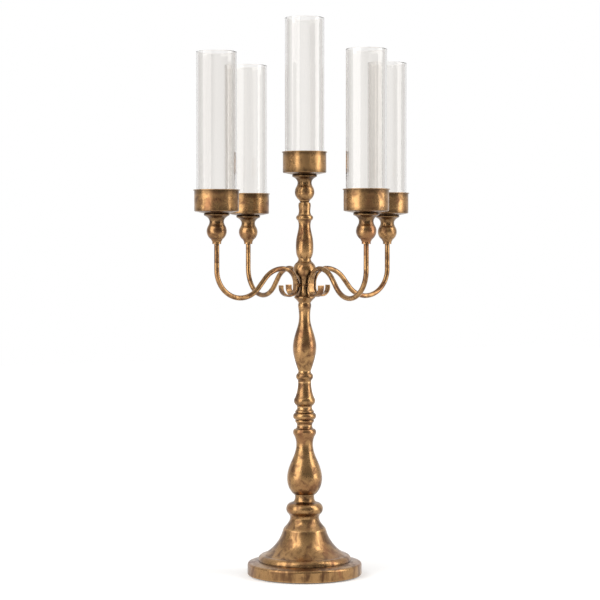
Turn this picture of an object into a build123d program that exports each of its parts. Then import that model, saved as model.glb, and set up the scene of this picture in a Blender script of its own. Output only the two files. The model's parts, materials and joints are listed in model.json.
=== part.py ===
from build123d import *
import os
from math import atan2, cos, degrees, radians, sin, tan

os.makedirs("parts", exist_ok=True)

# Tabletop candelabra: one central light and four arms, each light with a clear glass tube.
# Millimetres, +Z up, origin on the table under the middle of the foot, arms along X and Y.

# Base foot: a hollow casting with an upright rim, a sloping ledge, a rolled shoulder and a dome
foot_r = 73.3
foot_h = 58.6
rim_top_z = 16.3
rim_round = 3.0
rim_edge_round = 1.0
ledge_width = 13.5
ledge_rise = 2.3
shoulder_rise = 0.6
shoulder_roll = 7.0
dome_top_r = 27.4
dome_curve_r = 50.0
foot_wall = 4.0
rim_width = 9.3
seat_thickness = 5.0

# Felt disc glued in a shallow recess under the foot
felt_margin = 3.5
felt_thickness = 2.0
felt_proud = 1.0
felt_gap = 0.3

# Round bar stock for the clamping rod and the arms
bar_r = 3.2

# Clamping rod, washer and hexagon nut that hold the stem together
rod_clearance = 0.25
thread_clearance = 0.05
washer_r = 11.0
washer_thickness = 2.0
nut_across_flats = 11.1
nut_height = 5.5
rod_tail = 4.0

# Base collar: lip, cove, torus and neck
collar_h = 44.8
collar_step = 0.8
collar_lip = 1.6
collar_cove_r = 18.6
collar_torus_r = 23.6
collar_neck_r = 12.2

# Lower vase: rounded belly, slender neck and a ring at the top
vase_h = 88.7
vase_foot_r = 13.6
vase_belly_r = 22.5
vase_neck_r = 10.7
vase_ring_r = 14.9
vase_top_r = 9.8

# Lower knop: one square-shouldered ring with a fillet on each side, between two coves
knop_h = 23.1
knop_shoulder_r = 12.7
knop_bulge = 2.2
knop_fillet = 1.0
knop_top_r = 9.6

# Middle trumpet: a ring that runs up into a tapering neck
trumpet_h = 32.2
trumpet_shoulder_r = 12.2
trumpet_bulge = 1.5
trumpet_top_r = 8.5

# Bead ring
bead_h = 14.7
bead_r = 11.05
bead_top_r = 8.1

# Upper baluster: long pear shape with a small ring under the hub
baluster_h = 87.4
baluster_belly_r = 15.0
baluster_neck_r = 7.2
baluster_ring_r = 8.4
baluster_top_r = 7.7

# Arm hub: bell, waist with four brazing pads, and ball
hub_lower_h = 22.5
hub_upper_h = 34.1
hub_bell_r = 13.4
hub_waist_r = 6.5
hub_ball_r = 14.6
hub_top_r = 8.0
pad_width = 6.0
pad_length = 6.5
pad_margin = 0.4

# Upper spindle: swollen shaft, ring and a cupped top for the central knop
spindle_h = 71.7
spindle_belly_r = 11.2
spindle_waist_r = 7.8
spindle_ring_r = 10.9
spindle_neck_r = 7.3
knop_seat_wall = 1.45
knop_seat_depth = 2.4
knop_seat_gap = 0.15

# Arms: round bar bent in an S, hammered flat along the scroll that meets the hub
arm_reach = 132.6
arm_bend_r = 35.3
arm_riser_h = 67.6
arm_rise = 36.4
arm_ramp = 14.4
scroll_arch_r = 19.3
scroll_hook_r = 11.0
scroll_limb_h = 4.6
scroll_tip_h = 2.6
strap_width = 9.0
strap_thickness = 2.6
strap_crown = 0.08
strap_edge = 0.8
arm_spigot_h = 13.5

# Cup knop: tail, ball, neck and flange under each cup
tail_r = 5.6
tail_h = 5.8
tail_top_r = 6.6
ball_r = 12.5
cup_neck_r = 9.0
cup_neck_rise = 12.3
cup_flange_r = 16.0
cup_flange_rise = 6.8
cup_flange_h = 3.0
spigot_room = 0.5

# Candle cup with an out-turned lip
cup_glass_gap = 1.35
cup_wall = 1.2
cup_floor_rise = 2.2
cup_depth = 26.0
cup_lip_overhang = 1.2
cup_lip_h = 1.4

# Socket for a 22.2 mm taper candle, held by a countersunk screw
taper_d = 22.2
taper_clearance = 0.3
socket_wall = 1.5
socket_h = 20.0
socket_floor = 3.0
screw_r = 2.0
screw_head_r = 3.9
screw_head_angle = 90.0
screw_length = 16.0
screw_clearance = 0.15

# Glass tube, open at both ends, standing loose in its cup
glass_r = 25.25
glass_wall = 2.5
glass_h = 196.5
glass_edge_round = 0.9

# Heights of the stacked stem pieces above the table
hub_h = hub_lower_h + hub_upper_h
collar_z = foot_h
vase_z = collar_z + collar_h
knop_z = vase_z + vase_h
trumpet_z = knop_z + knop_h
bead_z = trumpet_z + trumpet_h
baluster_z = bead_z + bead_h
hub_z = baluster_z + baluster_h
spindle_z = hub_z + hub_h
spindle_top_z = spindle_z + spindle_h

# Places of the five lights: the foot of each cup knop, the arms meeting the hub at its waist
limb_mid_z = hub_z + hub_lower_h
limb_top_z = limb_mid_z + scroll_limb_h / 2
arch_z = limb_top_z + scroll_arch_r
low_z = arch_z - arm_rise
centre_light_z = spindle_top_z - knop_seat_depth
arm_light_z = low_z + arm_riser_h
arm_turns = {"right": 0, "back": 90, "left": 180, "front": 270}
lights = {"centre": (0, 0, centre_light_z)}
for side, turn in arm_turns.items():
    lights[side] = (
        arm_reach * cos(radians(turn)),
        arm_reach * sin(radians(turn)),
        arm_light_z,
    )

# Base foot
rod_bore_r = bar_r + rod_clearance
recess_z = felt_thickness
felt_r = foot_r - felt_margin
shoulder_r = foot_r - ledge_width
shoulder_foot_z = rim_top_z + ledge_rise
dome_foot_z = shoulder_foot_z + shoulder_rise + shoulder_roll
cavity_r = foot_r - rim_width
cavity_z = foot_h - seat_thickness
with BuildPart() as base_foot:
    with BuildSketch(Plane.XZ):
        with BuildLine():
            Polyline(
                (rod_bore_r, foot_h),
                (rod_bore_r, cavity_z),
                (dome_top_r - foot_wall, cavity_z),
            )
            RadiusArc(
                (dome_top_r - foot_wall, cavity_z),
                (shoulder_r - shoulder_roll - foot_wall, dome_foot_z - foot_wall),
                -(dome_curve_r + foot_wall),
            )
            Polyline(
                (shoulder_r - shoulder_roll - foot_wall, dome_foot_z - foot_wall),
                (shoulder_r - foot_wall, rim_top_z - foot_wall),
                (cavity_r, rim_top_z - foot_wall),
                (cavity_r, recess_z),
                (felt_r + felt_gap, recess_z),
                (felt_r + felt_gap, felt_proud),
                (foot_r - rim_edge_round, felt_proud),
            )
            RadiusArc(
                (foot_r - rim_edge_round, felt_proud),
                (foot_r, felt_proud + rim_edge_round),
                -rim_edge_round,
            )
            Line((foot_r, felt_proud + rim_edge_round), (foot_r, rim_top_z - rim_round))
            RadiusArc((foot_r, rim_top_z - rim_round), (foot_r - rim_round, rim_top_z), -rim_round)
            Polyline(
                (foot_r - rim_round, rim_top_z),
                (shoulder_r, shoulder_foot_z),
                (shoulder_r, dome_foot_z - shoulder_roll),
            )
            RadiusArc(
                (shoulder_r, dome_foot_z - shoulder_roll),
                (shoulder_r - shoulder_roll, dome_foot_z),
                -shoulder_roll,
            )
            RadiusArc((shoulder_r - shoulder_roll, dome_foot_z), (dome_top_r, foot_h), dome_curve_r)
            Line((dome_top_r, foot_h), (rod_bore_r, foot_h))
        make_face()
    revolve(axis=Axis.Z)
base_foot.part.label = "base_foot"
export_step(base_foot.part, "parts/base_foot.step")

# Felt disc under the foot
with BuildPart() as base_felt:
    with BuildSketch(Plane.XY):
        Circle(felt_r)
    extrude(amount=felt_thickness)
base_felt.part.label = "base_felt"
export_step(base_felt.part, "parts/base_felt.step")

# Washer and nut inside the foot
washer_z = cavity_z - washer_thickness
nut_z = washer_z - nut_height
with BuildPart() as base_washer:
    with BuildSketch(Plane.XY.offset(washer_z)):
        Circle(washer_r)
        Circle(rod_bore_r, mode=Mode.SUBTRACT)
    extrude(amount=washer_thickness)
base_washer.part.label = "base_washer"
export_step(base_washer.part, "parts/base_washer.step")

with BuildPart() as base_nut:
    with BuildSketch(Plane.XY.offset(nut_z)):
        RegularPolygon(nut_across_flats / 2, 6, major_radius=False)
        Circle(bar_r + thread_clearance, mode=Mode.SUBTRACT)
    extrude(amount=nut_height)
base_nut.part.label = "base_nut"
export_step(base_nut.part, "parts/base_nut.step")

# Clamping rod from below the nut up into the central cup knop
rod_bottom_z = nut_z - rod_tail
rod_top_z = centre_light_z + arm_spigot_h
with BuildPart() as tie_rod:
    with BuildSketch(Plane.XY.offset(rod_bottom_z)):
        Circle(bar_r)
    extrude(amount=rod_top_z - rod_bottom_z)
tie_rod.part.label = "tie_rod"
export_step(tie_rod.part, "parts/tie_rod.step")

# Base collar
collar_foot_r = dome_top_r - collar_step
with BuildPart() as base_collar:
    with BuildSketch(Plane.XZ):
        with BuildLine():
            torus_foot = (
                collar_cove_r + 0.34 * (collar_torus_r - collar_cove_r),
                collar_z + 0.44 * collar_h,
            )
            torus_top = (
                collar_neck_r + 0.42 * (collar_torus_r - collar_neck_r),
                collar_z + 0.77 * collar_h,
            )
            Polyline(
                (rod_bore_r, vase_z),
                (rod_bore_r, collar_z),
                (collar_foot_r, collar_z),
                (collar_foot_r, collar_z + collar_lip),
            )
            Spline(
                (collar_foot_r, collar_z + collar_lip),
                (collar_cove_r + 0.42 * (collar_foot_r - collar_cove_r), collar_z + 0.155 * collar_h),
                (collar_cove_r, collar_z + 0.326 * collar_h),
                torus_foot,
            )
            ThreePointArc(torus_foot, (collar_torus_r, collar_z + 0.595 * collar_h), torus_top)
            Spline(
                torus_top,
                (collar_neck_r, collar_z + 0.94 * collar_h),
                tangents=[(-1, 0.2), (0, 1)],
            )
            Polyline(
                (collar_neck_r, collar_z + 0.94 * collar_h),
                (collar_neck_r, vase_z),
                (rod_bore_r, vase_z),
            )
        make_face()
    revolve(axis=Axis.Z)
base_collar.part.label = "base_collar"
export_step(base_collar.part, "parts/base_collar.step")

# Lower vase
with BuildPart() as lower_vase:
    with BuildSketch(Plane.XZ):
        with BuildLine():
            ring_foot = (vase_ring_r - 0.06 * vase_ring_r, vase_z + 0.866 * vase_h)
            ring_top = (vase_ring_r - 0.11 * vase_ring_r, vase_z + 0.948 * vase_h)
            Polyline((rod_bore_r, knop_z), (rod_bore_r, vase_z), (vase_foot_r, vase_z))
            Spline(
                (vase_foot_r, vase_z),
                (0.907 * vase_belly_r, vase_z + 0.109 * vase_h),
                (vase_belly_r, vase_z + 0.23 * vase_h),
                (vase_neck_r + 0.6 * (vase_belly_r - vase_neck_r), vase_z + 0.457 * vase_h),
                (vase_neck_r + 0.095 * (vase_belly_r - vase_neck_r), vase_z + 0.63 * vase_h),
                (vase_neck_r, vase_z + 0.732 * vase_h),
                ring_foot,
            )
            ThreePointArc(ring_foot, (vase_ring_r, vase_z + 0.906 * vase_h), ring_top)
            Spline(ring_top, (vase_top_r, knop_z), tangents=[(-1, 0.1), (0, 1)])
            Line((vase_top_r, knop_z), (rod_bore_r, knop_z))
        make_face()
    revolve(axis=Axis.Z)
lower_vase.part.label = "lower_vase"
export_step(lower_vase.part, "parts/lower_vase.step")

# Lower knop
knop_ring_r = knop_shoulder_r + knop_bulge
with BuildPart() as lower_knop:
    with BuildSketch(Plane.XZ):
        with BuildLine():
            fillet_r = knop_shoulder_r - knop_fillet
            fillet_foot = (fillet_r, knop_z + 0.19 * knop_h)
            lower_groove = (fillet_r, knop_z + 0.32 * knop_h)
            ring_foot = (knop_shoulder_r, knop_z + 0.345 * knop_h)
            ring_top = (knop_shoulder_r, knop_z + 0.695 * knop_h)
            upper_groove = (fillet_r, knop_z + 0.72 * knop_h)
            fillet_top = (fillet_r, knop_z + 0.82 * knop_h)
            Polyline((rod_bore_r, trumpet_z), (rod_bore_r, knop_z), (vase_top_r, knop_z))
            Spline((vase_top_r, knop_z), fillet_foot, tangents=[(0, 1), (1, 1)])
            ThreePointArc(
                fillet_foot,
                (fillet_r + 0.5 * knop_fillet, knop_z + 0.255 * knop_h),
                lower_groove,
            )
            Line(lower_groove, ring_foot)
            ThreePointArc(ring_foot, (knop_ring_r, knop_z + 0.52 * knop_h), ring_top)
            Line(ring_top, upper_groove)
            ThreePointArc(
                upper_groove,
                (fillet_r + 0.5 * knop_fillet, knop_z + 0.77 * knop_h),
                fillet_top,
            )
            Spline(fillet_top, (knop_top_r, trumpet_z), tangents=[(-1, 1), (0, 1)])
            Line((knop_top_r, trumpet_z), (rod_bore_r, trumpet_z))
        make_face()
    revolve(axis=Axis.Z)
lower_knop.part.label = "lower_knop"
export_step(lower_knop.part, "parts/lower_knop.step")

# Middle trumpet
trumpet_ring_r = trumpet_shoulder_r + trumpet_bulge
with BuildPart() as middle_trumpet:
    with BuildSketch(Plane.XZ):
        with BuildLine():
            ring_foot = (0.5 * (knop_top_r + trumpet_ring_r), trumpet_z + 0.115 * trumpet_h)
            ring_top = (trumpet_shoulder_r, trumpet_z + 0.4 * trumpet_h)
            Polyline((rod_bore_r, bead_z), (rod_bore_r, trumpet_z), (knop_top_r, trumpet_z))
            Spline((knop_top_r, trumpet_z), ring_foot, tangents=[(0, 1), (1, 0.8)])
            ThreePointArc(ring_foot, (trumpet_ring_r, trumpet_z + 0.235 * trumpet_h), ring_top)
            Spline(
                ring_top,
                (
                    trumpet_top_r + 0.19 * (trumpet_shoulder_r - trumpet_top_r),
                    trumpet_z + 0.739 * trumpet_h,
                ),
                (trumpet_top_r, bead_z),
            )
            Line((trumpet_top_r, bead_z), (rod_bore_r, bead_z))
        make_face()
    revolve(axis=Axis.Z)
middle_trumpet.part.label = "middle_trumpet"
export_step(middle_trumpet.part, "parts/middle_trumpet.step")

# Bead ring
with BuildPart() as bead_ring:
    with BuildSketch(Plane.XZ):
        with BuildLine():
            bead_foot = (trumpet_top_r + 0.3 * (bead_r - trumpet_top_r), bead_z + 0.24 * bead_h)
            bead_head = (bead_top_r + 0.3 * (bead_r - bead_top_r), bead_z + 0.8 * bead_h)
            Polyline((rod_bore_r, baluster_z), (rod_bore_r, bead_z), (trumpet_top_r, bead_z))
            Spline((trumpet_top_r, bead_z), bead_foot, tangents=[(0, 1), (1, 1)])
            ThreePointArc(bead_foot, (bead_r, bead_z + 0.5 * bead_h), bead_head)
            Spline(bead_head, (bead_top_r, baluster_z), tangents=[(-1, 1), (0, 1)])
            Line((bead_top_r, baluster_z), (rod_bore_r, baluster_z))
        make_face()
    revolve(axis=Axis.Z)
bead_ring.part.label = "bead_ring"
export_step(bead_ring.part, "parts/bead_ring.step")

# Upper baluster
with BuildPart() as upper_baluster:
    with BuildSketch(Plane.XZ):
        with BuildLine():
            ring_foot = (0.965 * baluster_ring_r, baluster_z + 0.93 * baluster_h)
            Polyline((rod_bore_r, hub_z), (rod_bore_r, baluster_z), (bead_top_r, baluster_z))
            Spline(
                (bead_top_r, baluster_z),
                (
                    bead_top_r + 0.5 * (baluster_belly_r - bead_top_r),
                    baluster_z + 0.118 * baluster_h,
                ),
                (baluster_belly_r, baluster_z + 0.365 * baluster_h),
                (
                    baluster_neck_r + 0.46 * (baluster_belly_r - baluster_neck_r),
                    baluster_z + 0.588 * baluster_h,
                ),
                (
                    baluster_neck_r + 0.09 * (baluster_belly_r - baluster_neck_r),
                    baluster_z + 0.706 * baluster_h,
                ),
                (baluster_neck_r, baluster_z + 0.83 * baluster_h),
                ring_foot,
            )
            ThreePointArc(
                ring_foot,
                (baluster_ring_r, baluster_z + 0.966 * baluster_h),
                (baluster_top_r, hub_z),
            )
            Line((baluster_top_r, hub_z), (rod_bore_r, hub_z))
        make_face()
    revolve(axis=Axis.Z)
upper_baluster.part.label = "upper_baluster"
export_step(upper_baluster.part, "parts/upper_baluster.step")

# Arm hub with a pad for each arm on its waist
pad_face_r = hub_waist_r + pad_length
pad_height = scroll_limb_h - pad_margin
with BuildPart() as arm_hub:
    with BuildSketch(Plane.XZ):
        with BuildLine():
            bell_lip = (hub_bell_r, hub_z + 0.284 * hub_lower_h)
            bell_top = (0.975 * hub_bell_r, hub_z + 0.352 * hub_lower_h)
            ball_foot = (0.76 * hub_ball_r, limb_mid_z + 0.336 * hub_upper_h)
            ball_top = (
                hub_top_r + 0.25 * (hub_ball_r - hub_top_r),
                limb_mid_z + 0.876 * hub_upper_h,
            )
            Polyline((rod_bore_r, spindle_z), (rod_bore_r, hub_z), (baluster_top_r, hub_z))
            Spline((baluster_top_r, hub_z), bell_lip, tangents=[(0.5, 1), (1, 0.9)])
            Line(bell_lip, bell_top)
            Spline(
                bell_top,
                (hub_waist_r + 0.4 * (hub_bell_r - hub_waist_r), hub_z + 0.53 * hub_lower_h),
                (hub_waist_r, limb_mid_z),
                (hub_waist_r + 0.3 * (hub_ball_r - hub_waist_r), limb_mid_z + 0.236 * hub_upper_h),
                ball_foot,
            )
            ThreePointArc(ball_foot, (hub_ball_r, limb_mid_z + 0.627 * hub_upper_h), ball_top)
            Spline(ball_top, (hub_top_r, spindle_z), tangents=[(-0.8, 1), (0, 1)])
            Line((hub_top_r, spindle_z), (rod_bore_r, spindle_z))
        make_face()
    revolve(axis=Axis.Z)
    with BuildSketch(Plane.XY.offset(limb_mid_z - pad_height / 2)):
        for turn in arm_turns.values():
            with Locations(Rotation(0, 0, turn) * Pos(pad_face_r / 2, 0, 0)):
                Rectangle(pad_face_r, pad_width)
        Circle(rod_bore_r, mode=Mode.SUBTRACT)
    extrude(amount=pad_height)
arm_hub.part.label = "arm_hub"
export_step(arm_hub.part, "parts/arm_hub.step")

# Upper spindle with a cupped top for the tail of the central knop
spindle_top_r = tail_r + knop_seat_gap + knop_seat_wall
with BuildPart() as upper_spindle:
    with BuildSketch(Plane.XZ):
        with BuildLine():
            ring_foot = (
                spindle_waist_r + 0.3 * (spindle_ring_r - spindle_waist_r),
                spindle_z + 0.682 * spindle_h,
            )
            ring_top = (
                spindle_neck_r + 0.45 * (spindle_ring_r - spindle_neck_r),
                spindle_z + 0.776 * spindle_h,
            )
            Polyline((rod_bore_r, centre_light_z), (rod_bore_r, spindle_z), (hub_top_r, spindle_z))
            Spline(
                (hub_top_r, spindle_z),
                (
                    hub_top_r + 0.86 * (spindle_belly_r - hub_top_r),
                    spindle_z + 0.102 * spindle_h,
                ),
                (spindle_belly_r, spindle_z + 0.184 * spindle_h),
                (
                    spindle_waist_r + 0.67 * (spindle_belly_r - spindle_waist_r),
                    spindle_z + 0.393 * spindle_h,
                ),
                (spindle_waist_r, spindle_z + 0.635 * spindle_h),
                ring_foot,
            )
            ThreePointArc(ring_foot, (spindle_ring_r, spindle_z + 0.734 * spindle_h), ring_top)
            Spline(
                ring_top,
                (spindle_neck_r, spindle_z + 0.852 * spindle_h),
                (1.08 * spindle_neck_r, spindle_z + 0.95 * spindle_h),
                (spindle_top_r, spindle_top_z),
            )
            Polyline(
                (spindle_top_r, spindle_top_z),
                (tail_r + knop_seat_gap, spindle_top_z),
                (tail_r + knop_seat_gap, centre_light_z),
                (rod_bore_r, centre_light_z),
            )
        make_face()
    revolve(axis=Axis.Z)
upper_spindle.part.label = "upper_spindle"
export_step(upper_spindle.part, "parts/upper_spindle.step")


def bar_section(plane, half_width, half_thickness, corner_width, corner_thickness):
    """Section of the bar on a plane: four arcs through its corners and its middles."""
    with BuildSketch(plane) as section:
        with BuildLine():
            ThreePointArc(
                (corner_width, corner_thickness),
                (0, half_thickness),
                (-corner_width, corner_thickness),
            )
            ThreePointArc(
                (-corner_width, corner_thickness),
                (-half_width, 0),
                (-corner_width, -corner_thickness),
            )
            ThreePointArc(
                (-corner_width, -corner_thickness),
                (0, -half_thickness),
                (corner_width, -corner_thickness),
            )
            ThreePointArc(
                (corner_width, -corner_thickness),
                (half_width, 0),
                (corner_width, corner_thickness),
            )
        make_face()
    return section.sketch


# Arm along +X: riser, bottom bend, S-bend, flattening arch, limb, hook and tip
scroll_limb_r = pad_face_r + strap_thickness / 2
low_r = arm_reach - arm_bend_r
arch_r = scroll_limb_r + scroll_arch_r
sway_run = low_r - arch_r
sway_r = (sway_run**2 + arm_rise**2 - arm_ramp**2) / (4 * arm_rise)
sway_drop = arm_rise - 2 * sway_r
slope = atan2(
    2 * sway_r * sway_run + arm_ramp * sway_drop,
    arm_ramp * sway_run - 2 * sway_r * sway_drop,
)
bar_corner = bar_r * cos(radians(45))
flattening = []
for share in (0, 0.25, 0.5, 0.75, 1):
    turn = radians(90 + 90 * share)
    place = (arch_r + scroll_arch_r * cos(turn), 0, limb_top_z + scroll_arch_r * sin(turn))
    section = bar_section(
        Plane(place, (0, 1, 0), (-sin(turn), 0, cos(turn))),
        bar_r + share * (strap_width / 2 - bar_r),
        bar_r + share * (strap_thickness / 2 - bar_r),
        bar_corner + share * (strap_width / 2 - strap_edge - bar_corner),
        bar_corner + share * (strap_thickness / 2 - strap_crown - bar_corner),
    )
    flattening.append(section)

with BuildPart() as arm:
    with BuildLine(Plane.XZ) as bar_path:
        riser = Line((arm_reach, arm_light_z + arm_spigot_h), (arm_reach, low_z + arm_bend_r))
        bend = JernArc(riser @ 1, (0, -1), arm_bend_r, -90)
        up_bend = JernArc(bend @ 1, (-1, 0), sway_r, -degrees(slope))
        ramp = PolarLine(up_bend @ 1, arm_ramp, 180 - degrees(slope))
        JernArc(ramp @ 1, (-cos(slope), sin(slope)), sway_r, degrees(slope))
    with BuildSketch(Plane((arm_reach, 0, arm_light_z + arm_spigot_h), (0, 1, 0), (0, 0, -1))):
        Circle(bar_r)
    sweep(path=bar_path.wire())
    loft(sections=flattening)
    with BuildLine(Plane.XZ) as strap_path:
        limb = Line((scroll_limb_r, limb_top_z), (scroll_limb_r, limb_top_z - scroll_limb_h))
        hook = JernArc(limb @ 1, (0, -1), scroll_hook_r, 180)
        Line(hook @ 1, hook @ 1 + (0, scroll_tip_h))
    sweep(sections=flattening[-1], path=strap_path.wire())
for side, turn in arm_turns.items():
    placed = arm.part.rotate(Axis.Z, turn)
    placed.label = f"arm_{side}"
    export_step(placed, f"parts/arm_{side}.step")

# Cup knop, from its tail up to the flange, drilled for the bar below and the screw above
tail_seat_h = knop_seat_depth + knop_seat_gap
ball_z = tail_h + 0.815 * ball_r
cup_neck_z = ball_z + cup_neck_rise
flange_z = cup_neck_z + cup_flange_rise
cup_knop_h = flange_z + cup_flange_h
screw_tip_z = cup_knop_h + cup_floor_rise + cup_wall + socket_floor - screw_length
with BuildPart() as cup_knop:
    with BuildSketch(Plane.XZ):
        with BuildLine():
            ball_foot = (0.58 * ball_r, tail_h)
            ball_top = (0.88 * ball_r, ball_z + 0.475 * ball_r)
            Polyline((0, cup_knop_h), (0, 0), (tail_r, 0), (tail_r, tail_seat_h))
            Spline(
                (tail_r, tail_seat_h),
                (tail_top_r, tail_seat_h + 0.6 * (tail_h - tail_seat_h)),
                ball_foot,
                tangents=[(0.3, 1), (0.7, 1)],
            )
            ThreePointArc(ball_foot, (ball_r, ball_z), ball_top)
            Spline(
                ball_top,
                (cup_neck_r, cup_neck_z),
                (0.94 * cup_flange_r, flange_z),
                tangents=[(-0.6, 1), (1, 0.45)],
            )
            ThreePointArc(
                (0.94 * cup_flange_r, flange_z),
                (cup_flange_r, flange_z + 0.5 * cup_flange_h),
                (0.94 * cup_flange_r, cup_knop_h),
            )
            Line((0.94 * cup_flange_r, cup_knop_h), (0, cup_knop_h))
        make_face()
    revolve(axis=Axis.Z)
    with BuildSketch(Plane.XY):
        Circle(bar_r + thread_clearance)
    extrude(amount=arm_spigot_h + spigot_room, mode=Mode.SUBTRACT)
    with BuildSketch(Plane.XY.offset(screw_tip_z - spigot_room)):
        Circle(screw_r + thread_clearance)
    extrude(amount=cup_knop_h - screw_tip_z + spigot_room, mode=Mode.SUBTRACT)

# Candle cup, from its flat seat on the flange up to the lip
cup_floor_z = cup_knop_h + cup_floor_rise + cup_wall
cup_rim_z = cup_floor_z + cup_depth
cup_inner_r = glass_r + cup_glass_gap
cup_r = cup_inner_r + cup_wall
cup_lip_r = cup_r + cup_lip_overhang
with BuildPart() as candle_cup:
    with BuildSketch(Plane.XZ):
        with BuildLine():
            Polyline(
                (screw_r + screw_clearance, cup_floor_z),
                (screw_r + screw_clearance, cup_knop_h),
                (cup_flange_r, cup_knop_h),
                (cup_inner_r, cup_knop_h + cup_floor_rise),
            )
            RadiusArc(
                (cup_inner_r, cup_knop_h + cup_floor_rise),
                (cup_r, cup_floor_z),
                -cup_wall,
            )
            Polyline(
                (cup_r, cup_floor_z),
                (cup_r, cup_rim_z - cup_lip_h),
                (cup_lip_r - cup_lip_h / 2, cup_rim_z - cup_lip_h),
            )
            ThreePointArc(
                (cup_lip_r - cup_lip_h / 2, cup_rim_z - cup_lip_h),
                (cup_lip_r, cup_rim_z - cup_lip_h / 2),
                (cup_lip_r - cup_lip_h / 2, cup_rim_z),
            )
            Polyline(
                (cup_lip_r - cup_lip_h / 2, cup_rim_z),
                (cup_inner_r, cup_rim_z),
                (cup_inner_r, cup_floor_z),
                (screw_r + screw_clearance, cup_floor_z),
            )
        make_face()
    revolve(axis=Axis.Z)

# Taper socket on the cup floor
socket_bore_r = taper_d / 2 + taper_clearance
socket_top_z = cup_floor_z + socket_h
with BuildPart() as taper_socket:
    with BuildSketch(Plane.XY.offset(cup_floor_z)):
        Circle(socket_bore_r + socket_wall)
    extrude(amount=socket_h)
    with BuildSketch(Plane.XY.offset(cup_floor_z + socket_floor)):
        Circle(socket_bore_r)
    extrude(amount=socket_h - socket_floor, mode=Mode.SUBTRACT)
    fillet(taper_socket.edges().group_by(Axis.Z)[-1], socket_wall / 3)
    with Locations((0, 0, cup_floor_z + socket_floor)):
        CounterSinkHole(
            screw_r + screw_clearance,
            screw_head_r + screw_clearance,
            counter_sink_angle=screw_head_angle,
        )

# Countersunk screw that holds the socket and the cup on the knop
head_top_z = cup_floor_z + socket_floor
screw_head_h = (screw_head_r - screw_r) / tan(radians(screw_head_angle / 2))
with BuildPart() as cup_screw:
    with BuildSketch(Plane.XZ):
        with BuildLine():
            Polyline(
                (0, screw_tip_z),
                (screw_r, screw_tip_z),
                (screw_r, head_top_z - screw_head_h),
                (screw_head_r, head_top_z),
                (0, head_top_z),
                close=True,
            )
        make_face()
    revolve(axis=Axis.Z)

# Glass tube standing on the cup floor
with BuildPart() as glass_tube:
    with BuildSketch(Plane.XY.offset(cup_floor_z)):
        Circle(glass_r)
        Circle(glass_r - glass_wall, mode=Mode.SUBTRACT)
    extrude(amount=glass_h)
    fillet(glass_tube.edges(), glass_edge_round)

# The five lights share these pieces
light_pieces = {
    "cup_knop": cup_knop,
    "candle_cup": candle_cup,
    "taper_socket": taper_socket,
    "glass_tube": glass_tube,
}
for light, place in lights.items():
    for piece_name, piece in light_pieces.items():
        placed = piece.part.moved(Location(place))
        placed.label = f"{piece_name}_{light}"
        export_step(placed, f"parts/{piece_name}_{light}.step")

# The five screws are one group
with BuildPart() as cup_screws:
    with Locations(*lights.values()):
        add(cup_screw.part)
cup_screws.part.label = "cup_screws"
export_step(cup_screws.part, "parts/cup_screws.step")
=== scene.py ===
import bpy
import bmesh
import json
import math
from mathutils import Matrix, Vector, noise


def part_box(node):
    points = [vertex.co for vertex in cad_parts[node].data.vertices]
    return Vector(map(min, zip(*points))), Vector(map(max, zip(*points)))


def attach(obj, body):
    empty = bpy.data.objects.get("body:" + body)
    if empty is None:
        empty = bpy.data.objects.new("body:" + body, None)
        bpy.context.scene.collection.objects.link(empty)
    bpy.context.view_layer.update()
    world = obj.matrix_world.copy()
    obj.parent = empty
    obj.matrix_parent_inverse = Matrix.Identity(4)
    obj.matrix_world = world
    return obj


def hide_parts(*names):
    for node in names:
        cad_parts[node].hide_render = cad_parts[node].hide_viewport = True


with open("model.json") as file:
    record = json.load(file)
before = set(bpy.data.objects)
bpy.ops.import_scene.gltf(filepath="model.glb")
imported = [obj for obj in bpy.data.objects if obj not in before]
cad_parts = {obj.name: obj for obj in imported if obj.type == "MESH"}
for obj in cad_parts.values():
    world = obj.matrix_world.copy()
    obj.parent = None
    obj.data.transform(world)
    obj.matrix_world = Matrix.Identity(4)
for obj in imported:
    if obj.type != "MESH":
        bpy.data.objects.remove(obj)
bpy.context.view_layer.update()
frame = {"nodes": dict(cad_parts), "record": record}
nodes = frame["nodes"]
scene = bpy.context.scene

# The photograph's camera, in pixels of its frame, with the scale at the stem
IMAGE = 600
FOCAL = 1910.0
HORIZON_Y = 244.0
STEM_X = 304.6
FOOT_Y = 575.6
MM_PER_PX = 1.2811
SENSOR_WIDTH = 36.0
AZIMUTH = math.radians(-34.65)
TO_CAMERA = Vector((math.sin(AZIMUTH), -math.cos(AZIMUTH), 0.0))
TO_RIGHT = Vector((math.cos(AZIMUTH), math.sin(AZIMUTH), 0.0))

# Softboxes, in metres
LAMP_AIM = Vector((0, 0, 0.36))
LAMP_DISTANCE = 1.5
LAMP_RISE = math.radians(22)
LAMP_HEIGHT = 1.9
LAMP_COLOUR = (1.0, 0.985, 0.96)

# Strength of the white world: as seen, as even light, and as mirrored in metal
WORLD_SEEN = 1.0
WORLD_EVEN = 0.45
ROOM_FRONT = 0.30
ROOM_BACK = 1.0
ROOM_OVERHEAD = 0.40

# Floor, in metres, and the strength of its glow near the object, around it and far off
FLOOR_EDGE = 4.0
FLOOR_LEVEL = -0.0004
GLOW_NEAR = 0.28
GLOW_AROUND = 0.48
GLOW_FAR = 0.4

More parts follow.
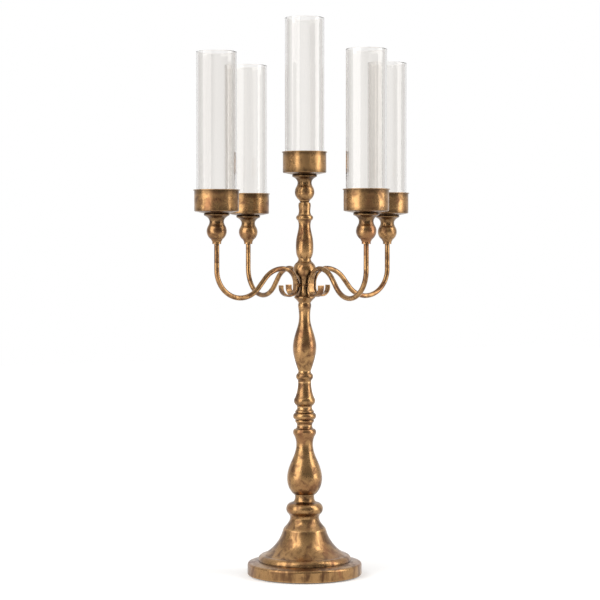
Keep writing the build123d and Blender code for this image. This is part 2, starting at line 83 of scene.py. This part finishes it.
WHITE = (1, 1, 1, 1)
PAPER_DULL = (0.80, 0.80, 0.80, 1)
PAPER_CLEAR = (0.84, 0.84, 0.84, 1)
GOLD = (0.345, 0.196, 0.081, 1)
RUBBED_GOLD_AND_HIGHLIGHT = (0.52, 0.315, 0.145, 1)
BROWN = (0.118, 0.058, 0.026, 1)
DARK = (0.034, 0.020, 0.011, 1)
COPPER = (0.21, 0.088, 0.040, 1)
STEEL_DULL = (0.40, 0.40, 0.41, 1)
STEEL_CLEAR = (0.55, 0.55, 0.56, 1)
STEEL_STAIN = (0.22, 0.19, 0.16, 1)
GLASS_DULL = (0.868, 0.852, 0.834, 1)
GLASS_CLEAR = (0.940, 0.927, 0.910, 1)
GLASS_EDGE_SHADE = (0.70, 0.685, 0.67, 1)
FELT_DARK = (0.045, 0.03, 0.02, 1)
FELT_PALE = (0.13, 0.095, 0.065, 1)
FELT_CLOUD = (0.085, 0.06, 0.042, 1)

# Metal: how softly gold turns to brown, how dark the dark bands are (painted shade under and along
# the cups), relief in metres
GILT_FADE = 0.21
DARK_BAND_STRENGTH = 0.5
AO_SAMPLES = 6
BLOTCH_RELIEF = 0.00012
SPECK_RELIEF = 0.000015
RING_RELIEF = 0.00005
DENT_RELIEF = 0.0009
STEEL_RELIEF = 0.00005
FELT_RELIEF = 0.0006

# Mesh of the felt disc: rounding of its cut edge and unevenness in metres
FELT_SPOKES = 180
FELT_RINGS = 12
FELT_SOFT = 0.0005
FELT_RUFFLE = 0.00018
FELT_SINK = 0.00010


def add_camera():
    distance = FOCAL * MM_PER_PX / 1000
    height = (FOOT_Y - HORIZON_Y) * MM_PER_PX / 1000
    pitch = math.atan((IMAGE / 2 - HORIZON_Y) / FOCAL)
    yaw = math.atan((STEM_X - IMAGE / 2) / FOCAL)
    ahead = -TO_CAMERA * math.cos(yaw) - TO_RIGHT * math.sin(yaw)
    ahead = ahead * math.cos(pitch) - Vector((0, 0, math.sin(pitch)))
    data = bpy.data.cameras.new("camera")
    data.sensor_width = SENSOR_WIDTH
    data.lens = SENSOR_WIDTH * FOCAL / IMAGE
    camera = bpy.data.objects.new("camera", data)
    camera.location = TO_CAMERA * distance + Vector((0, 0, height))
    camera.rotation_euler = ahead.to_track_quat("-Z", "Y").to_euler()
    scene.collection.objects.link(camera)
    scene.camera = camera


def add_softbox(name, turn, width, power):
    """An area lamp aimed at the stem from this many degrees to the right of the camera's side."""
    data = bpy.data.lights.new(name, "AREA")
    data.shape = "RECTANGLE"
    data.size = width
    data.size_y = LAMP_HEIGHT
    data.energy = power
    data.color = LAMP_COLOUR
    lamp = bpy.data.objects.new(name, data)
    angle = AZIMUTH + math.radians(turn)
    level = math.cos(LAMP_RISE)
    offset = Vector((math.sin(angle) * level, -math.cos(angle) * level, math.sin(LAMP_RISE)))
    lamp.location = LAMP_AIM + offset * LAMP_DISTANCE
    lamp.rotation_euler = (-offset).to_track_quat("-Z", "Y").to_euler()
    lamp.visible_transmission = False
    scene.collection.objects.link(lamp)


class Tree:
    """A short way to write a node tree."""

    def __init__(self, tree):
        self.tree = tree

    def node(self, kind, inputs=None, **settings):
        made = self.tree.nodes.new(kind)
        for key, value in settings.items():
            setattr(made, key, value)
        for key, value in (inputs or {}).items():
            self.join(value, made.inputs[key])
        return made

    def join(self, value, socket):
        """Link an output to the socket, or set a constant on it."""
        if isinstance(value, bpy.types.NodeSocket):
            self.tree.links.new(value, socket)
        else:
            socket.default_value = value

    def math(self, operation, a, b):
        return self.node("ShaderNodeMath", {0: a, 1: b}, operation=operation).outputs[0]

    def add(self, a, b):
        return self.math("ADD", a, b)

    def times(self, a, b):
        return self.math("MULTIPLY", a, b)

    def vector(self, operation, *vectors):
        """A number worked out from vectors."""
        inputs = dict(enumerate(vectors))
        return self.node("ShaderNodeVectorMath", inputs, operation=operation).outputs["Value"]

    def ramp(self, value, low, high, start=0.0, end=1.0):
        made = self.node(
            "ShaderNodeMapRange",
            {"Value": value, "From Min": low, "From Max": high, "To Min": start, "To Max": end},
            interpolation_type="SMOOTHSTEP",
        )
        return made.outputs[0]

    def blend(self, share, a, b, data_type="FLOAT"):
        made = self.node("ShaderNodeMix", {"Factor": share}, data_type=data_type)
        self.join(a, made.inputs["A"])
        self.join(b, made.inputs["B"])
        return made.outputs["Result"]

    def mix(self, share, a, b):
        return self.blend(share, a, b, "RGBA")

    def noise(self, vector, scale, detail=4.0, rough=0.55, distortion=0.0):
        made = self.node(
            "ShaderNodeTexNoise",
            {
                "Vector": vector,
                "Scale": scale,
                "Detail": detail,
                "Roughness": rough,
                "Distortion": distortion,
            },
        )
        return made.outputs["Fac"]

    def stretched(self, vector, x=1.0, y=1.0, z=1.0):
        return self.node("ShaderNodeMapping", {"Vector": vector, "Scale": (x, y, z)}).outputs[0]

    def height(self, vector):
        return self.node("ShaderNodeSeparateXYZ", {0: vector}).outputs["Z"]

    def bump(self, relief, shader, strength=1.0):
        inputs = {"Height": relief, "Distance": 1.0, "Strength": strength}
        self.join(self.node("ShaderNodeBump", inputs).outputs[0], shader.inputs["Normal"])


def new_material(name):
    material = bpy.data.materials.new(name)
    material.use_nodes = True
    material.node_tree.nodes.clear()
    tree = Tree(material.node_tree)
    shader = tree.node("ShaderNodeBsdfPrincipled")
    out = tree.node("ShaderNodeOutputMaterial")
    tree.join(shader.outputs[0], out.inputs["Surface"])
    place = tree.node("ShaderNodeTexCoord").outputs["Object"]
    return material, tree, shader, place


def showing_rays(tree):
    """Rays that show the background: those seen directly or through glass, and those off metal."""
    path = tree.node("ShaderNodeLightPath")
    seen = tree.math("MAXIMUM", path.outputs["Is Camera Ray"], path.outputs["Is Transmission Ray"])
    return seen, path.outputs["Is Glossy Ray"]


def add_world():
    """A white world; metal mirrors it dimmer on the camera's side and brighter overhead."""
    world = bpy.data.worlds.new("studio")
    scene.world = world
    world.use_nodes = True
    world.node_tree.nodes.clear()
    tree = Tree(world.node_tree)
    seen, glossy = showing_rays(tree)
    way = tree.node("ShaderNodeTexCoord").outputs["Generated"]
    behind = tree.vector("DOT_PRODUCT", way, tuple(-TO_CAMERA))
    room = tree.add(
        tree.ramp(behind, -0.6, 0.9, ROOM_FRONT, ROOM_BACK),
        tree.ramp(tree.height(way), 0.45, 0.90, end=ROOM_OVERHEAD),
    )
    strength = tree.blend(glossy, WORLD_EVEN, room)
    strength = tree.blend(seen, strength, WORLD_SEEN)
    back = tree.node("ShaderNodeBackground", {"Color": WHITE, "Strength": strength})
    out = tree.node("ShaderNodeOutputWorld")
    tree.join(back.outputs[0], out.inputs["Surface"])


def add_floor():
    """White paper that glows to rays that show the background and keeps the object's shadow."""
    corners = [(-1, -1), (1, -1), (1, 1), (-1, 1)]
    mesh = bpy.data.meshes.new("floor")
    mesh.from_pydata(
        [(x * FLOOR_EDGE, y * FLOOR_EDGE, FLOOR_LEVEL) for x, y in corners],
        [],
        [(0, 1, 2, 3)],
    )
    floor = bpy.data.objects.new("floor", mesh)
    scene.collection.objects.link(floor)
    material, tree, shader, place = new_material("floor_paper")
    shown = tree.math("MAXIMUM", *showing_rays(tree))
    grain = tree.noise(place, scale=180.0, detail=3.0)
    tree.join(tree.mix(grain, PAPER_DULL, PAPER_CLEAR), shader.inputs["Base Color"])
    shader.inputs["Roughness"].default_value = 0.95
    shader.inputs["Specular IOR Level"].default_value = 0.0
    shader.inputs["Emission Color"].default_value = WHITE
    away = tree.vector("LENGTH", place)
    glow = tree.add(
        tree.ramp(away, 0.25, 1.2, GLOW_NEAR, GLOW_AROUND),
        tree.ramp(away, 1.0, 3.0, end=GLOW_FAR),
    )
    tree.join(tree.times(shown, glow), shader.inputs["Emission Strength"])
    mesh.materials.append(material)


def metal(
    name,
    turned=0.0,
    hammered=0.0,
    dark_bands=(),
    alone=False,
    drips=False,
    polish=(0.18, 0.43),
    gilt=0.35,
    rub_and_highlight_width=0.0009,
    shade_and_wash_reach=0.014,
):
    """Antique gilt metal: rubbed gold over brown with copper-red patches, dark in the recesses as
    a dark wash and as painted shade.

    turned and hammered are the strengths of the lathe's rings and of the dents.
    grimy lists sheltered zones, each as the four heights between which it fades in and out again.
    alone leaves neighbours such as the table or the glass out of the painted recess shade.
    grimy lists bands drawn darker, each as the four heights between which it fades in and out
    again.
    polish is the roughness of the brightest and the dullest spots; a higher gilt leaves less gold.
    wear is how far from an edge it is drawn bright, partly rubbed gold and partly painted
    highlight; reach is how far out of a recess it is drawn dark, partly dark wash and partly
    painted shade.
    """
    material, tree, shader, place = new_material(name)
    broad = tree.noise(place, scale=38.0, detail=5.0, rough=0.6, distortion=0.4)
    run = tree.stretched(place, z=0.3) if drips else place
    blotch = tree.noise(run, scale=120.0, detail=3.0, distortion=0.6)
    speck = tree.noise(place, scale=900.0, detail=3.0, rough=0.6)
    patch = tree.stretched(place, z=0.8)
    red = tree.noise(patch, scale=24.0, detail=3.0, rough=0.5, distortion=0.6)
    uneven = tree.math("SUBTRACT", blotch, 0.5)

    rubbed = tree.add(tree.times(broad, 0.4), tree.times(blotch, 0.6))
    colour = tree.mix(tree.ramp(rubbed, gilt, gilt + GILT_FADE), BROWN, GOLD)
    colour = tree.mix(tree.ramp(red, 0.50, 0.70, end=0.70), colour, COPPER)
    colour = tree.mix(tree.ramp(speck, 0.58, 0.74, end=0.20), colour, DARK)
    # Recesses drawn dark: partly the finish's dark wash, partly painted shade cast by the part
    # itself and, unless alone, by its neighbours
    recess_shade_and_wash = tree.node(
        "ShaderNodeAmbientOcclusion", {"Distance": shade_and_wash_reach}, samples=AO_SAMPLES, only_local=alone
    )
    clear_of_shade_and_wash = tree.add(recess_shade_and_wash.outputs["AO"], tree.times(uneven, 0.35))
    colour = tree.mix(tree.ramp(clear_of_shade_and_wash, 0.42, 0.95), DARK, colour)
    # Bands at given heights drawn darker; most are painted shade
    if dark_bands:
        level = tree.add(tree.height(place), tree.times(uneven, 0.006))
    for low, full_from, full_to, high in dark_bands:
        fading_in = tree.ramp(level, low, full_from)
        fading_out = tree.ramp(level, full_to, high, start=1.0, end=0.0)
        zone = tree.times(fading_in, fading_out)
        colour = tree.mix(tree.times(zone, DARK_BAND_STRENGTH), colour, DARK)
    # Convex edges drawn brighter: partly rubbed gold, partly a painted highlight
    edge = tree.node(
        "ShaderNodeAmbientOcclusion",
        {"Distance": rub_and_highlight_width},
        samples=AO_SAMPLES,
        inside=True,
        only_local=True,
    )
    rubbed_and_highlit = tree.ramp(edge.outputs["AO"], 0.60, 0.95, start=0.8, end=0.0)
    tree.join(tree.mix(rubbed_and_highlit, colour, RUBBED_GOLD_AND_HIGHLIGHT), shader.inputs["Base Color"])

    shader.inputs["Metallic"].default_value = 1.0
    shine = tree.add(tree.times(blotch, 0.7), tree.times(speck, 0.3))
    brightest, dullest = polish
    tree.join(tree.ramp(shine, 0.3, 0.7, dullest, brightest), shader.inputs["Roughness"])
    shader.inputs["Coat Weight"].default_value = 0.1
    shader.inputs["Coat Roughness"].default_value = 0.38

    relief = tree.times(blotch, BLOTCH_RELIEF)
    relief = tree.add(relief, tree.times(speck, SPECK_RELIEF))
    if turned:
        rings = tree.noise(tree.stretched(place, 14.0, 14.0, 1500.0), scale=1.0, detail=2.0)
        relief = tree.add(relief, tree.times(rings, RING_RELIEF * turned))
    if hammered:
        dents = tree.node(
            "ShaderNodeTexVoronoi", {"Vector": place, "Scale": 130.0}, feature="SMOOTH_F1"
        )
        relief = tree.add(relief, tree.times(dents.outputs["Distance"], DENT_RELIEF * hammered))
    tree.bump(relief, shader, strength=0.7)
    return material


def steel_material():
    """Plain turned steel with a few dull stains."""
    material, tree, shader, place = new_material("steel")
    lines = tree.noise(tree.stretched(place, 30.0, 30.0, 2200.0), scale=1.0, detail=2.0)
    stain = tree.noise(place, scale=90.0)
    colour = tree.mix(lines, STEEL_DULL, STEEL_CLEAR)
    colour = tree.mix(tree.ramp(stain, 0.55, 0.75, end=0.5), colour, STEEL_STAIN)
    tree.join(colour, shader.inputs["Base Color"])
    shader.inputs["Metallic"].default_value = 1.0
    tree.join(tree.ramp(stain, 0.3, 0.7, 0.25, 0.5), shader.inputs["Roughness"])
    tree.bump(tree.times(lines, STEEL_RELIEF), shader)
    return material


def glass_material():
    """Clear drawn tube with a trace of warm grey in soft upright streaks, partly striae of the
    drawn glass and partly painted reflection bands; greyer along its edges as they turn from view,
    which is painted shade.
    """
    material, tree, shader, place = new_material("clear_glass")
    # Upright streaks: partly striae of the drawn glass, partly painted reflection bands
    streak = tree.noise(tree.stretched(place, z=0.02), scale=60.0, detail=1.0, rough=0.5)
    tint = tree.mix(tree.ramp(streak, 0.38, 0.62), GLASS_DULL, GLASS_CLEAR)
    # Greyer where the surface turns from view: painted shade along the tube's edges
    facing = tree.node("ShaderNodeLayerWeight", {"Blend": 0.5}).outputs["Facing"]
    tint = tree.mix(tree.ramp(facing, 0.25, 0.60), tint, GLASS_EDGE_SHADE)
    tree.join(tint, shader.inputs["Base Color"])
    shader.inputs["Transmission Weight"].default_value = 1.0
    shader.inputs["IOR"].default_value = 1.47
    tree.join(tree.ramp(streak, 0.4, 0.7, end=0.012), shader.inputs["Roughness"])
    return material


def felt_material():
    """Brown felt of crossed fibres, a little cloudy."""
    material, tree, shader, place = new_material("felt")
    along = tree.stretched(place, y=0.35)
    fibre = tree.noise(along, scale=2600.0, rough=0.7, distortion=1.5)
    across = tree.stretched(place, x=0.35)
    cross = tree.noise(across, scale=2200.0, rough=0.7, distortion=1.5)
    cloud = tree.noise(place, scale=45.0, detail=3.0)
    mass = tree.times(tree.add(fibre, cross), 0.5)
    colour = tree.mix(tree.ramp(mass, 0.35, 0.65), FELT_DARK, FELT_PALE)
    colour = tree.mix(tree.ramp(cloud, 0.4, 0.7, end=0.4), colour, FELT_CLOUD)
    tree.join(colour, shader.inputs["Base Color"])
    shader.inputs["Roughness"].default_value = 0.95
    shader.inputs["Sheen Weight"].default_value = 0.35
    tree.bump(tree.times(mass, FELT_RELIEF), shader)
    return material


def light_metals(places, tag, gilt):
    """Metal of the knops and cups at one height, with painted shade on the knop under a cup and
    along the cup's foot, and a band drawn darker at its lip.
    """
    low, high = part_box(f"candle_cup_{places[0]}")
    foot, rim = low[2], high[2]
    # Painted shade under the cup and along its foot; the lip band is only drawn darker
    under = (foot - 0.016, foot - 0.009, foot + 0.010, foot + 0.020)
    along = (foot - 0.002, foot - 0.001, foot + 0.003, foot + 0.009)
    below = (rim - 0.008, rim - 0.003, rim + 0.005, rim + 0.010)
    # The knop keeps less gold than plain cast bronze: painted shade for sitting in the cup's shade
    knop = metal(f"cast_bronze_knop_{tag}", turned=1.0, dark_bands=[under], gilt=0.385)
    cup = metal(
        f"spun_bronze_cup_{tag}",
        turned=0.4,
        hammered=0.4,
        dark_bands=[along, below],
        alone=True,
        polish=(0.19, 0.43),
        gilt=gilt,
    )
    made = {}
    for place in places:
        made[f"cup_knop_{place}"] = knop
        made[f"candle_cup_{place}"] = cup
    return made


def felt_profile(radius, thick):
    """Radius and height of each ring of the felt disc, from its top round to its underside."""
    soft = FELT_SOFT
    outward = [radius * step / FELT_RINGS for step in range(1, FELT_RINGS)]
    rows = [(0.0, thick)]
    rows += [(r, thick) for r in outward]
    rows += [(radius - soft, thick), (radius - 0.3 * soft, thick - 0.3 * soft)]
    rows += [(radius, thick - soft), (radius, soft)]
    rows += [(radius - 0.3 * soft, 0.3 * soft), (radius - soft, 0.0)]
    rows += [(r, 0.0) for r in reversed(outward)]
    rows += [(0.0, 0.0)]
    return rows


def add_felt(material):
    """Felt disc with a soft cut edge and a faintly uneven face, in place of the CAD disc."""
    low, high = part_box("base_felt")
    radius = (high[0] - low[0]) / 2
    thick = high[2] - low[2]
    mesh = bmesh.new()
    rings = []
    for r, z in felt_profile(radius, thick):
        ring = []
        for spoke in range(FELT_SPOKES if r else 1):
            turn = 2 * math.pi * spoke / FELT_SPOKES
            point = Vector((r * math.cos(turn), r * math.sin(turn), z))
            at_edge = r > radius - FELT_SOFT * 1.01
            inward = FELT_RUFFLE * (noise.noise(point * 900.0) + 1) if at_edge else 0.0
            sink = FELT_SINK * (noise.noise(point * 300.0) + 1)
            if z > thick / 2:
                level = z - sink
            else:
                level = z + (0.5 * sink if r < radius * 0.9 else 0.0)
            kept = r - inward
            ring.append(mesh.verts.new((kept * math.cos(turn), kept * math.sin(turn), level)))
        rings.append(ring)
    for first, second in zip(rings, rings[1:]):
        for spoke in range(FELT_SPOKES):
            after = (spoke + 1) % FELT_SPOKES
            if len(first) == 1:
                mesh.faces.new((first[0], second[spoke], second[after]))
            elif len(second) == 1:
                mesh.faces.new((first[after], first[spoke], second[0]))
            else:
                mesh.faces.new((first[spoke], second[spoke], second[after], first[after]))
    bmesh.ops.recalc_face_normals(mesh, faces=mesh.faces)
    data = bpy.data.meshes.new("felt_disc")
    mesh.to_mesh(data)
    mesh.free()
    for face in data.polygons:
        face.use_smooth = True
    felt = bpy.data.objects.new("felt_disc", data)
    scene.collection.objects.link(felt)
    data.materials.append(material)
    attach(felt, "stand")
    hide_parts("base_felt")


add_camera()
add_world()
add_floor()
add_softbox("softbox_left", turn=-53, width=1.25, power=26.0)
add_softbox("softbox_right", turn=78, width=0.75, power=18.0)
scene.view_settings.view_transform = "Standard"

slot_materials = {
    "cast_bronze": metal("cast_bronze", turned=1.0, gilt=0.36, rub_and_highlight_width=0.0016),
    "wrought_bronze": metal("wrought_bronze", hammered=0.3, gilt=0.38),
    "spun_bronze": metal("spun_bronze", turned=0.4, hammered=0.4, alone=True, gilt=0.34),
    "steel": steel_material(),
    "felt": felt_material(),
    "glass": glass_material(),
}
own_materials = {
    "arm_hub": metal("cast_bronze_hub", turned=1.0, alone=True, gilt=0.365, rub_and_highlight_width=0.0016),
    "base_foot": metal(
        "cast_bronze_foot",
        turned=1.0,
        alone=True,
        drips=True,
        gilt=0.37,
        # Wider bright edges: partly rubbed gold, partly a painted highlight along the rim's top
        # edge
        rub_and_highlight_width=0.0026,
        shade_and_wash_reach=0.006,
    ),
}
# The centre cup keeps more gold: painted light, in place of softbox reflections that the other
# glass tubes block
own_materials.update(light_metals(["centre"], "high", gilt=0.25))
own_materials.update(light_metals(["left", "right", "front", "back"], "low", gilt=0.335))
node_slots = {p["node"]: p["material_slot"] for p in frame["record"]["subparts"]}
for name, node in nodes.items():
    node.data.materials.clear()
    node.data.materials.append(own_materials.get(name, slot_materials[node_slots[name]]))
add_felt(slot_materials["felt"])
